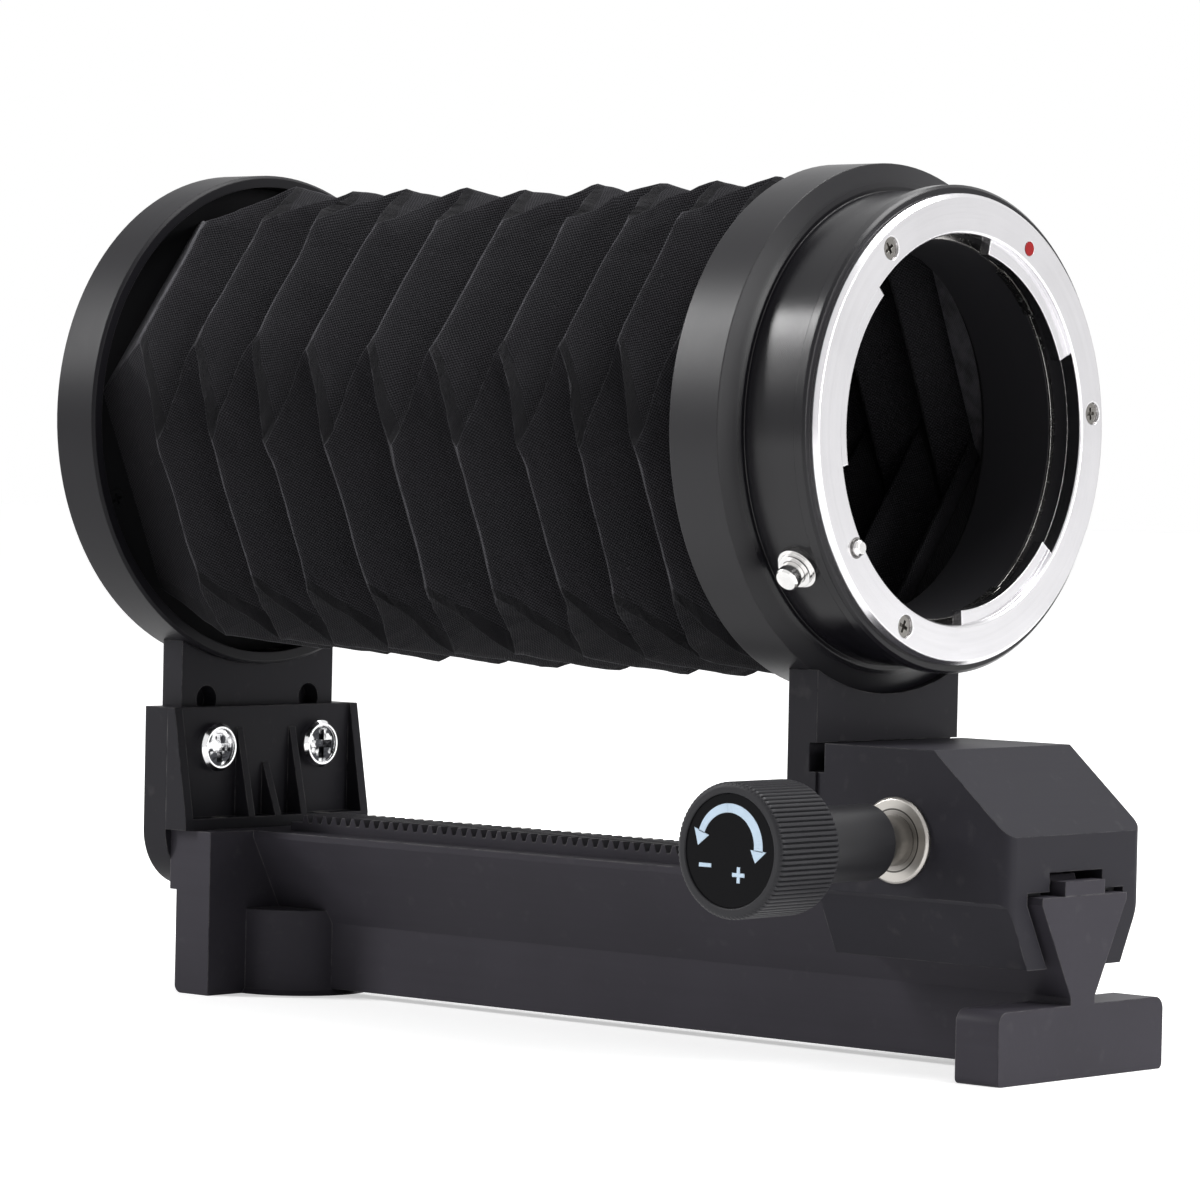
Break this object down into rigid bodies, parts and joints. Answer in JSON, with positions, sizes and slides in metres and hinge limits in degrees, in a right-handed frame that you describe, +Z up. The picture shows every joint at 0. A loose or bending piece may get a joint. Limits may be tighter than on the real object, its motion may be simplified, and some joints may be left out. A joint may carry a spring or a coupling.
{
  "type": "macro_bellows_unit",
  "caption": "Macro bellows unit with a rack-driven lens standard, a fixed camera standard and a six-sided pleated bellows",
  "frame": {"origin": "centre of the tripod socket's mouth on the table", "axes": "+X along the optical axis towards the lens, +Y away from the lock knob, +Z up"},
  "size_m": [0.1712, 0.0885, 0.1252],
  "materials": {
    "casting": "satin black paint on a casting",
    "satin": "satin black anodised",
    "steel": "blued and plain steel",
    "nickel": "nickel plated, turned",
    "silver": "satin chrome",
    "brass": "plain turned brass",
    "nylon": "plain nylon",
    "cloth": "black coated woven cloth, worn lighter on the ridges",
    "red": "red dot of paint"
  },
  "bodies": {
    "base": {"rail": "casting", "rack": "casting", "tripod_insert": "nickel", "back_plate": "casting", "back_plate_screws": "steel", "rear_bracket": "casting", "bracket_base_screws": "steel", "rear_standard": "casting", "standard_screws": "silver", "standard_nuts": "silver", "rear_ring": "satin", "rear_ring_screws": "steel", "camera_bayonet": "silver", "camera_mount_screws": "steel", "bellows_rear_frame": "steel", "rear_frame_screws": "steel", "bellows": "cloth"},
    "carriage": {"carriage_block": "casting", "slide_liners": "nylon", "near_bushing": "nickel", "far_bushing": "nickel", "front_standard": "casting", "front_standard_screws": "steel", "front_ring": "satin", "front_ring_screws": "steel", "bellows_front_frame": "steel", "front_frame_screws": "steel", "bayonet_ring": "silver", "mount_screws": "silver", "index_dot": "red", "bayonet_spring": "nickel", "button_sleeve": "silver", "pin_spring": "steel"},
    "drive": {"pinion_shaft": "nickel", "spacer_sleeve": "nickel", "drive_knob": "satin", "drive_knob_screw": "steel"},
    "collar": {"thrust_collar": "satin"},
    "lock": {"lock_knob": "satin", "knob_insert": "brass", "knob_cap": "satin"},
    "release_button": {"release_button": "silver"},
    "lock_pin": {"lock_pin": "silver"}
  },
  "joints": [
    {"name": "carriage_slide", "type": "slide", "parent": "base", "child": "carriage", "axis": [1, 0, 0], "range_m": [-0.088, 0], "deforming": ["bellows"]},
    {"name": "pinion_spin", "type": "hinge", "parent": "carriage", "child": "drive", "pos_m": [0.1291, 0, 0.03157], "axis": [0, 1, 0], "range_deg": [-1057, 0]},
    {"name": "collar_slide", "type": "slide", "parent": "drive", "child": "collar", "axis": [0, 1, 0], "range_m": [0, 0.00075]},
    {"name": "lock_knob_turn", "type": "hinge", "parent": "collar", "child": "lock", "pos_m": [0.1291, 0, 0.03157], "axis": [0, 1, 0], "range_deg": [0, 270]},
    {"name": "release_press", "type": "slide", "parent": "carriage", "child": "release_button", "axis": [0, 0.8192, 0.5736], "range_m": [0, 0.0012], "stiffness_N_per_m": 800},
    {"name": "pin_slide", "type": "slide", "parent": "carriage", "child": "lock_pin", "axis": [1, 0, 0], "range_m": [-0.0012, 0], "deforming": ["pin_spring"]}
  ],
  "couplings": [
    {"joint": "pinion_spin", "follows": "carriage_slide", "rad_per_m": 209.44},
    {"joint": "lock_knob_turn", "follows": "collar_slide", "rad_per_m": 6283.2},
    {"joint": "pin_slide", "follows": "release_press", "ratio": -1}
  ]
}
